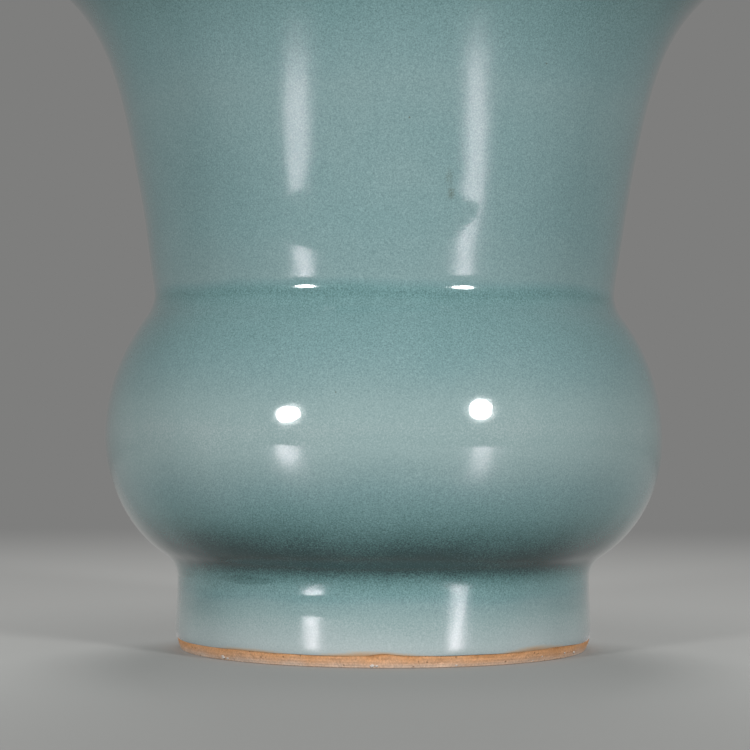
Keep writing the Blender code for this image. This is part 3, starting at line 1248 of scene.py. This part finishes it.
@dataclass
class BaseCoat:
    """The glaze in the foot's recess, over the bowl's underside and down the foot's inner wall.

    Sizes are metres and glaze depths, which end in _mm, are millimetres.
    """

    form: JarForm = FORM
    columns: int = 192
    ceiling_rows: int = 90
    cove_rows: int = 12
    wall_rows: int = 40
    hidden_rows: int = 3
    cove: float = 0.0035
    ring_pitch: float = 0.0042
    ring_height: float = 0.00004
    line_wave: Ripple = Ripple(size=0.03, amount=0.00035, seed=31)
    hand: Ripple = Ripple(size=0.03, amount=0.00012, seed=33)
    middle_calm: Span = (0.001, 0.006)
    edge_reach: float = 0.006
    depth_mm: float = 0.80
    edge_thins_mm: float = 0.55
    pool_mm: float = 0.45
    pool_in: float = 0.002
    pool_width: float = 0.004
    pool_drop: float = 0.006

    @property
    def ceiling(self) -> float:
        """Height of the glaze's seen face under the bowl."""
        return self.form.bowl_underside - self.form.clearance - self.form.glaze

    @property
    def corner_radius(self) -> float:
        """Radius of the glaze's seen face where the wall starts, under the cove."""
        return self.form.foot_inner(self.ceiling - self.cove) - self.form.clay_depth

    def outlines(self) -> tuple[Outline, Outline]:
        """Draw the coat's outline.

        Returns:
            The face that is seen, from the axis out under the bowl and down the wall, and the
            whole line, which starts with that face and comes back to the axis behind it.
        """
        form, low, cove = self.form, self.ceiling, self.cove
        beside = self.corner_radius
        under = level(np.linspace(0.0, beside - cove, self.ceiling_rows), low, -QUARTER)
        bend = np.linspace(0.0, QUARTER, self.cove_rows)[1:]
        corner = Outline(
            beside - cove + cove * np.sin(bend),
            low - cove + cove * np.cos(bend),
            -QUARTER - bend,
        )
        height = np.linspace(low - cove, form.glaze_edge_height, self.wall_rows)[1:]
        inwards = np.full_like(height, math.atan(form.foot_inner_taper) - math.pi)
        wall = Outline(form.foot_inner(height) - form.clay_depth, height, inwards)
        seen = chained(under, corner, wall)
        height = np.linspace(form.glaze_edge_height, low + form.glaze, self.hidden_rows)
        back = Outline(form.foot_inner(height) - form.clearance, height, np.zeros_like(height))
        top = level(np.array([beside / 2.0, 0.0]), low + form.glaze, QUARTER)
        return seen, chained(seen, back, top)

    def relief(self, seen: Outline, angle: np.ndarray) -> np.ndarray:
        """Work out the turning ring, a spiral cos(2 pi s / pitch - a), and the uneven hand.

        Args:
            seen: the face that is seen.
            angle: angle of each column.

        Returns:
            The relief of each grid point, calm in the middle.
        """
        along = seen.along()
        spiral = np.cos(TURN * along[:, None] / self.ring_pitch - angle)
        relief = self.ring_height * spiral + self.hand.over(along, angle, self.form.throat_radius)
        return relief * ease(along, *self.middle_calm)[:, None]

    def glaze_depth(self, radius: np.ndarray, height: np.ndarray) -> np.ndarray:
        """Work out how thick the glaze looks: a pool in the corner, thin at the lower edge.

        Args:
            radius: radius of each grid point.
            height: height of each grid point.

        Returns:
            The depth of each grid point in millimetres.
        """
        edge, low = self.form.glaze_edge_height, self.ceiling
        thin = 1.0 - ease(height, edge, edge + self.edge_reach)
        pool = bell(radius, self.corner_radius - self.pool_in, self.pool_width)
        pool *= ease(height, low - self.pool_drop, low)
        return self.depth_mm - self.edge_thins_mm * thin + self.pool_mm * pool

    def build(self, glaze: bpy.types.Material) -> None:
        """Build the coat, which is shown in place of the base glaze.

        Args:
            glaze: the glaze's material.
        """
        seen, whole = self.outlines()
        angle = around(self.columns)
        still = ((0, whole.radius.size - seen.radius.size), (0, 0))
        edge = self.form.glaze_edge_height
        near_line = 1.0 - ease(whole.height, edge, edge + self.edge_reach)
        line = self.line_wave.over(np.zeros(1), angle, self.form.throat_radius)
        relief = np.pad(self.relief(seen, angle), still)
        radius, height = whole.raised(relief, near_line[:, None] * line)
        mesh = turned_mesh("base_coat", radius, height, closed=False)
        carry(mesh, Attribute.GLAZE_DEPTH, self.glaze_depth(radius, height), closed=False)
        place("base_coat", mesh, glaze, Slot.CELADON, "base_glaze")


@dataclass
class TurnedFoot:
    """The foot ring, bare along its lower edge, with turning marks, nicks and sandy grit.

    Sizes are metres, and flash_by_height pairs a height in millimetres with how far the clay there
    is flashed, from 0 to 1.
    """

    form: JarForm = FORM
    columns: int = 512
    side_rows: int = 44
    side_crowding: float = 1.8
    rest_rows: int = 14
    edge_rows: int = 6
    top_rows: int = 6
    inner_rows: int = 24
    glaze_thickens: Span = (0.0012, 0.006)
    ring_pitch: float = 0.0009
    ring_height: float = 0.00003
    hand: Ripple = Ripple(size=0.010, amount=0.00005, seed=41)
    grit: Ripple = Ripple(size=0.0030, amount=0.00003, seed=43, waves=60)
    marks_start: Span = (0.0001, 0.0008)
    marks_end: Span = (0.012, 0.016)
    nicks: int = 26
    nick_seed: int = 47
    nick_heights: Span = (0.0002, 0.0030)
    nick_sizes: Span = (0.0005, 0.0013)
    nick_tall: float = 0.7
    nick_deep: float = 0.28
    flash_by_height: Table = (
        (0.0, 0.10), (0.7, 0.16), (1.6, 0.46), (2.6, 0.70), (3.5, 0.82), (3.8, 1.0),
    )
    inner_flash: float = 0.35
    inner_flash_rows: int = 4

    def outlines(self) -> tuple[Outline, np.ndarray]:
        """Draw the foot ring's outline.

        Returns:
            The ring, out along the resting face, up the side, over the top and down inside, and
            for each of its points 1 on the outer side and 0 elsewhere.
        """
        form = self.form
        rounding = form.foot_edge_break
        side = form.foot_side(rounding, form.foot_top)
        start, end = (form.glaze_edge_height + rise for rise in self.glaze_thickens)
        glazed = (form.clay_depth - form.glaze_stand) * ease(side.height, start, end)
        side = side.sunk(form.glaze_stand + glazed).evened(form.dense)
        crowded = np.linspace(0.0, 1.0, self.side_rows) ** self.side_crowding
        side = side.where(np.unique(np.round(crowded * (form.dense - 1)).astype(int)))
        outer_edge = side.radius[0] - rounding
        inner_edge = form.foot_inner(0.0) + rounding
        rest = level(np.linspace(inner_edge, outer_edge, self.rest_rows), 0.0, -QUARTER)
        corner = arc(outer_edge, rounding, rounding, -QUARTER, 0.0, self.edge_rows)
        outer = chained(corner.trimmed(1, 1), side)
        across = np.linspace(side.radius[-1], form.foot_inner(form.foot_top), self.top_rows)
        top = level(across[1:], form.foot_top, QUARTER)
        height = np.linspace(form.foot_top, rounding, self.inner_rows)[1:]
        inner = Outline(form.foot_inner(height), height, np.full_like(height, math.pi))
        corner = arc(inner_edge, rounding, rounding, -math.pi, -QUARTER, self.edge_rows)
        back = chained(top, inner, corner.trimmed(1, 1))
        counts = [part.radius.size for part in (rest, outer, back)]
        return chained(rest, outer, back), np.repeat([0.0, 1.0, 0.0], counts)

    def relief(self, ring: Outline, outer: np.ndarray, angle: np.ndarray) -> np.ndarray:
        """Work out turning rings, cos(2 pi z / pitch), an uneven hand, sandy grit and nicks.

        Args:
            ring: the foot ring's outline.
            outer: 1 for points on the outer side.
            angle: angle of each column.

        Returns:
            The relief of each grid point.
        """
        girth, along, height = self.form.throat_radius, ring.along(), ring.height
        rings = self.ring_height * np.cos(TURN * height / self.ring_pitch)
        relief = self.hand.over(along, angle, girth)
        relief += self.grit.over(along, angle, girth) + rings[:, None]
        relief *= (ease(height, *self.marks_start) * (1.0 - ease(height, *self.marks_end)))[:, None]
        draw = np.random.default_rng(self.nick_seed)
        sides = draw.uniform(0.0, TURN, self.nicks)
        heights = draw.uniform(*self.nick_heights, self.nicks)
        sizes = draw.uniform(*self.nick_sizes, self.nicks)
        for side, middle, size in zip(sides, heights, sizes):
            up = bell(height, middle, self.nick_tall * size) * outer
            relief -= self.nick_deep * size * bell(apart(angle, side) * girth, 0.0, size) * up[:, None]
        return relief

    def build(self, clay: bpy.types.Material) -> None:
        """Build the piece that is shown in place of the foot ring.

        Args:
            clay: the bare clay's material.
        """
        ring, outer = self.outlines()
        radius, height = ring.raised(self.relief(ring, outer, around(self.columns)))
        height = np.clip(height, 0.0, None)
        mesh = turned_mesh("turned_foot", radius, height, closed=True)
        flash = np.interp(height / MM, *np.array(self.flash_by_height).T)
        inner_band = 1.0 - ease(radius, ring.radius[0], ring.radius[self.inner_flash_rows])
        carry(mesh, Attribute.FLASH, flash + self.inner_flash * inner_band, closed=True)
        place("turned_foot", mesh, clay, Slot.BARE_FOOT, "foot_ring")


@dataclass
class KilnGrit:
    """Grains of kiln sand that fused to the bare foot.

    Each grain is a unit ball, squashed to its own width, thickness and height and roughened:
    point = centre + (width across, thickness outwards, height up) * ball * (1 + noise).

    Attributes:
        form: the jar's sizes.
        columns: points around a grain.
        rows: points between a grain's poles.
        seen: side in degrees, height and size in millimetres of each grain at the front.
        scattered: number of grains elsewhere.
        scatter_seed: seed of their draw.
        scatter_sides: first and last side, in turns.
        scatter_heights: lowest and highest place, in millimetres.
        scatter_sizes: smallest and largest size, in millimetres.
        shares: width, thickness and height of a grain as shares of its size.
        roughness: spread of the noise.
        band: lowest and highest line of the foot's side that carries grains.
        least_height: a grain's lowest point stays over this height.
    """

    form: JarForm = FORM
    columns: int = 9
    rows: int = 5
    seen: tuple[Point, ...] = (
        (-137.9, 1.0, 0.95),
        (-136.2, 0.75, 0.55),
        (-92.8, 0.75, 0.75),
        (-91.6, 0.7, 0.45),
    )
    scattered: int = 9
    scatter_seed: int = 59
    scatter_sides: Span = (-0.2, 0.5)
    scatter_heights: Span = (0.5, 2.0)
    scatter_sizes: Span = (0.25, 0.6)
    shares: Point = (1.0, 0.36, 0.62)
    roughness: float = 0.16
    band: Span = (0.0003, 0.0034)
    least_height: float = 0.0001

    def ball(self) -> tuple[np.ndarray, list[list[int]]]:
        """Make a unit ball: (cos b cos a, cos b sin a, sin b) at latitude b and longitude a.

        Returns:
            Its points, the lower and the upper pole last, and its faces.
        """
        latitude = np.linspace(-QUARTER, QUARTER, self.rows + 2)[1:-1, None]
        longitude = around(self.columns)
        flat = np.cos(latitude)
        axes = flat * np.cos(longitude), flat * np.sin(longitude), np.sin(latitude)
        grid = np.stack(np.broadcast_arrays(*axes), axis=-1).reshape(-1, 3)
        points = np.concatenate([grid, [[0.0, 0.0, -1.0], [0.0, 0.0, 1.0]]])
        bottom, top = len(grid), len(grid) + 1
        return points, capped_rows(self.rows, self.columns, first=0, bottom=bottom, top=top)

    def build(self, sand: bpy.types.Material) -> None:
        """Build the grains, half sunk in the foot's bare band.

        Args:
            sand: the sand's material.
        """
        draw = np.random.default_rng(self.scatter_seed)
        sides, heights, sizes = np.array(self.seen).T
        count = self.scattered
        angle = np.concatenate([np.radians(sides), draw.uniform(*self.scatter_sides, count) * TURN])
        height = np.concatenate([heights, draw.uniform(*self.scatter_heights, count)]) * MM
        size = np.concatenate([sizes, draw.uniform(*self.scatter_sizes, count)]) * MM
        side = self.form.foot_side(*self.band).sunk(self.form.glaze_stand)
        radius = np.interp(height, side.height, side.radius)
        points, faces = self.ball()
        rough = 1.0 + self.roughness * draw.standard_normal((angle.size, len(points)))
        local = points[None] * rough[..., None] * size[:, None, None] * np.array(self.shares)
        local[..., 2] = np.maximum(local[..., 2], self.least_height - height[:, None])
        up = np.array([0.0, 0.0, 1.0])
        out = np.stack([np.cos(angle), np.sin(angle), np.zeros_like(angle)], axis=-1)
        across = np.cross(up, out)
        centre = out * radius[:, None] + height[:, None] * up
        world = centre[:, None] + across[:, None] * local[..., :1]
        world += local[..., 2:] * up - out[:, None] * local[..., 1:2]
        shifts = (np.arange(angle.size) * len(points)).tolist()
        every = [[k + shift for k in face] for shift in shifts for face in faces]
        mesh = bpy.data.meshes.new("kiln_grit")
        mesh.from_pydata(world.reshape(-1, 3).tolist(), [], every)
        mesh.shade_smooth()
        place("kiln_grit", mesh, sand, Slot.BARE_FOOT)


@dataclass(frozen=True)
class ClayBody:
    """The thrown sections and their slip seams, which keep their solids under the glaze."""

    sections: tuple[str, ...] = ("neck_section", "belly_section")
    seams: tuple[str, ...] = ("waist_slip_joint", "foot_slip_joint")

    def dress(self) -> None:
        """Give the sections the clay's finish and the seams the slip's."""
        for finish, nodes in ((HIDDEN_CLAY, self.sections), (SEAM_SLIP, self.seams)):
            material = finish.material()
            for node in nodes:
                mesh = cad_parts[node].data
                mesh.materials.clear()
                mesh.materials.append(material)
                LOG.info("%s: dressed as %s", node, material.name)


# Studio and camera


@dataclass(frozen=True)
class Lamp:
    """One soft oval lamp that is turned to the jar.

    Attributes:
        name: the lamp's name.
        place: where it stands.
        width: its width.
        tall: its height.
        power: its power in watts.
        mirrored: whether glossy surfaces show it.
    """

    name: str
    place: Point
    width: float
    tall: float
    power: float
    mirrored: bool = True

    def build(self, aim: Point) -> None:
        """Add the lamp, out of the camera's own sight.

        Args:
            aim: the point that it faces.
        """
        light = bpy.data.lights.new(self.name, "AREA")
        light.shape = "ELLIPSE"
        light.size = self.width
        light.size_y = self.tall
        light.energy = self.power
        lamp = bpy.data.objects.new(self.name, light)
        lamp.location = self.place
        lamp.rotation_euler = (Vector(aim) - Vector(self.place)).to_track_quat("-Z", "Y").to_euler()
        lamp.visible_camera = False
        lamp.visible_glossy = self.mirrored
        bpy.context.scene.collection.objects.link(lamp)


@dataclass
class Studio:
    """A plain pale satin floor that runs into a grey surround, two front lamps and two fills.

    Attributes:
        floor_colour: the floor's colour beside the jar.
        shaded_floor: the floor's darker colour towards diffuse rays.
        surround_colour: colour of the surround and of the floor far off.
        floor_glow: how far the floor shines by itself.
        surround_light: how far the surround lights the jar.
        floor_radius: the floor's radius.
        floor_rings: number of rings in its mesh, closer together near the jar.
        floor_sides: number of sides of each ring.
        fade_middle: where the floor is palest.
        fade: distances from there at which it starts and ends turning into the surround.
        satin_reach: nearest and farthest y of the floor's polish.
        satin_left: y and strength of the polish on the left.
        satin_right: the same on the right.
        satin_middle: half the width over which left turns into right.
        satin_roughness: roughness of the polish.
        sheen_colour: its tint.
        gloss_ior: its index of refraction.
        aim: the point that the lamps face.
        lamps: the lamps.
    """

    floor_colour: str = "#A4A4A2"
    shaded_floor: str = "#404040"
    surround_colour: str = "#7E7E7D"
    floor_glow: float = 0.27
    surround_light: float = 0.05
    floor_radius: float = 6.0
    floor_rings: int = 12
    floor_sides: int = 64
    fade_middle: Point = (0.0, -0.45, 0.0)
    fade: Span = (0.45, 1.25)
    satin_reach: Span = (-0.62, 0.06)
    satin_left: Table = (
        (-0.610, 0.0), (-0.595, 0.48), (-0.28, 1.00), (-0.20, 0.92), (-0.13, 0.80), (-0.05, 0.80),
        (0.05, 0.0),
    )
    satin_right: Table = (
        (-0.610, 0.0), (-0.595, 0.66), (-0.45, 0.64), (-0.30, 0.56), (-0.20, 0.70), (-0.13, 1.00),
        (-0.05, 1.00), (0.05, 0.0),
    )
    satin_middle: float = 0.05
    satin_roughness: float = 0.36
    sheen_colour: str = "#FFF5FB"
    gloss_ior: float = 2.31
    aim: Point = (0.0, 0.0, 0.085)
    lamps: tuple[Lamp, ...] = (
        Lamp("left_lamp", (-1.547, -1.977, 0.570), 0.44, 0.34, 37.3),
        Lamp("right_lamp", (1.559, -1.947, 0.727), 0.42, 0.40, 39.5),
        Lamp("back_fill", (0.0, 1.25, 1.10), 0.8, 0.8, 15.0),
        Lamp("top_fill", (0.0, -0.20, 1.90), 0.9, 0.9, 5.0, mirrored=False),
    )

    def seen_rays(self, add: Adder) -> Socket:
        """Tell rays that show the studio from those that only carry its light.

        Args:
            add: adds a node to the tree.

        Returns:
            1 for camera, glossy and transmission rays and 0 for others.
        """
        seen = add("LightPath", {}, "Is Camera Ray")
        for kind in ("Is Glossy Ray", "Is Transmission Ray"):
            seen = add("Math", {0: seen, 1: add("LightPath", {}, kind)}, operation="MAXIMUM")
        return seen

    def polish(self, add: Adder, at: Socket) -> Socket:
        """Work out how strongly the floor's polish mirrors the lamps into the glaze.

        It is the Fresnel share times the strength on that side, for glossy rays alone.

        Args:
            add: adds a node to the floor's tree.
            at: Object coordinates.

        Returns:
            The share of the polish.
        """
        start, end = self.satin_reach
        reach = {"From Min": start, "From Max": end}
        inwards = add("MapRange", {"Value": add("SeparateXYZ", {0: at}, "Y"), **reach})
        mixed = {}
        for side, levels in ((COLOUR_A, self.satin_left), (COLOUR_B, self.satin_right)):
            stops = [((y - start) / (end - start), strength) for y, strength in levels]
            mixed[side] = add("ValToRGB", {"Fac": inwards}, stops=stops)
        reach = {"From Min": -self.satin_middle, "From Max": self.satin_middle}
        mixed["Factor"] = add("MapRange", {"Value": add("SeparateXYZ", {0: at}, "X"), **reach})
        strength = add("Mix", mixed, COLOUR_OUT, data_type="RGBA")
        share = add("Fresnel", {"IOR": self.gloss_ior})
        for part in (strength, add("LightPath", {}, "Is Glossy Ray")):
            share = add("Math", {0: share, 1: part}, operation="MULTIPLY")
        return share

    def floor_material(self) -> bpy.types.Material:
        """Make the floor's finish: pale satin near the jar, the surround's colour far off.

        It is darker towards diffuse rays, so that it throws little light up at the jar.

        Returns:
            The material.
        """
        material = bpy.data.materials.new("pale_satin_board")
        add = node_adder(material)
        at = add("TexCoord", {}, "Object")
        away = add("VectorMath", {0: at, 1: self.fade_middle}, "Value", operation="DISTANCE")
        start, end = self.fade
        far = add(
            "MapRange",
            {"Value": away, "From Min": start, "From Max": end},
            interpolation_type="SMOOTHSTEP",
        )
        pale = linear(self.floor_colour)
        glow = {"Emission Color": pale, "Emission Strength": self.floor_glow}
        matt = {"Base Color": pale, "Roughness": 1.0, "Specular IOR Level": 0.0, **glow}
        sheen = {"Color": linear(self.sheen_colour), "Roughness": self.satin_roughness}
        shaders = {1: add("BsdfPrincipled", matt), 2: add("BsdfGlossy", sheen)}
        board = add("MixShader", {0: self.polish(add, at), **shaders})
        surround = add("Emission", {"Color": linear(self.surround_colour), "Strength": 1.0})
        seen = add("MixShader", {0: far, 1: board, 2: surround})
        shaded = add("BsdfDiffuse", {"Color": linear(self.shaded_floor)})
        face = add("MixShader", {0: self.seen_rays(add), 1: shaded, 2: seen})
        add("OutputMaterial", {"Surface": face})
        return material

    def floor(self) -> None:
        """Build the floor: a flat disc of rings, each r (cos a, sin a) at height 0."""
        rings, sides = self.floor_rings, self.floor_sides
        radius = self.floor_radius * np.linspace(0.0, 1.0, rings + 1)[1:] ** 2
        angle = around(sides)
        rim = np.stack([np.cos(angle), np.sin(angle), np.zeros_like(angle)], axis=-1)
        points = (radius[:, None, None] * rim).reshape(-1, 3)
        near = np.arange(rings - 1)[:, None] * sides
        faces = quads_around(near + sides, near, sides) + [list(range(sides))]
        mesh = bpy.data.meshes.new("floor")
        mesh.from_pydata(points.tolist(), [], faces)
        mesh.materials.append(self.floor_material())
        floor = bpy.data.objects.new("floor", mesh)
        bpy.context.scene.collection.objects.link(floor)

    def surround(self) -> None:
        """Give the world an even grey, dim as light and plain where it is seen."""
        world = bpy.data.worlds.new("studio_surround")
        add = node_adder(world)
        reach = {"To Min": self.surround_light, "To Max": 1.0}
        strength = add("MapRange", {"Value": self.seen_rays(add), **reach})
        back = {"Color": linear(self.surround_colour), "Strength": strength}
        add("OutputWorld", {"Surface": add("Background", back)})
        bpy.context.scene.world = world

    def build(self) -> None:
        """Set up the floor, the surround and the lamps."""
        self.floor()
        self.surround()
        for lamp in self.lamps:
            lamp.build(self.aim)
        bpy.context.scene.view_settings.view_transform = "Standard"


@dataclass
class PhotoCamera:
    """The camera at the photograph's place: level with the belly and tilted up a little."""

    image_pixels: float = 750.0
    focal_pixels: float = 2300.0
    axis_column: float = 384.0
    horizon_row: float = 418.0
    distance: float = 0.7065
    height: float = 0.07005
    roll: float = math.radians(0.23)
    clip: Span = (0.05, 20.0)

    def build(self) -> None:
        """Add the camera and make it the scene's own."""
        middle = self.image_pixels / 2.0
        data = bpy.data.cameras.new("photo_camera")
        data.sensor_fit = "HORIZONTAL"
        data.lens = data.sensor_width * self.focal_pixels / self.image_pixels
        data.clip_start, data.clip_end = self.clip
        camera = bpy.data.objects.new("photo_camera", data)
        camera.location = (0.0, -self.distance, self.height)
        tilt = math.atan((self.horizon_row - middle) / self.focal_pixels)
        yaw = math.atan((self.axis_column - middle) / self.focal_pixels)
        turns = (
            Matrix.Rotation(yaw, 3, "Z")
            @ Matrix.Rotation(QUARTER + tilt, 3, "X")
            @ Matrix.Rotation(self.roll, 3, "Z")
        )
        camera.rotation_euler = turns.to_euler()
        bpy.context.scene.collection.objects.link(camera)
        bpy.context.scene.camera = camera


def main() -> None:
    """Build and dress the jar, then set up the studio and the camera."""
    logging.basicConfig(level=logging.INFO, format="%(message)s")
    glaze = CeladonGlaze().material()
    OuterCoat().build(glaze)
    InnerCoat().build(glaze)
    BaseCoat().build(glaze)
    TurnedFoot().build(FOOT_CLAY.material())
    KilnGrit().build(KILN_SAND.material())
    ClayBody().dress()
    Studio().build()
    PhotoCamera().build()


if __name__ == "__main__":
    main()
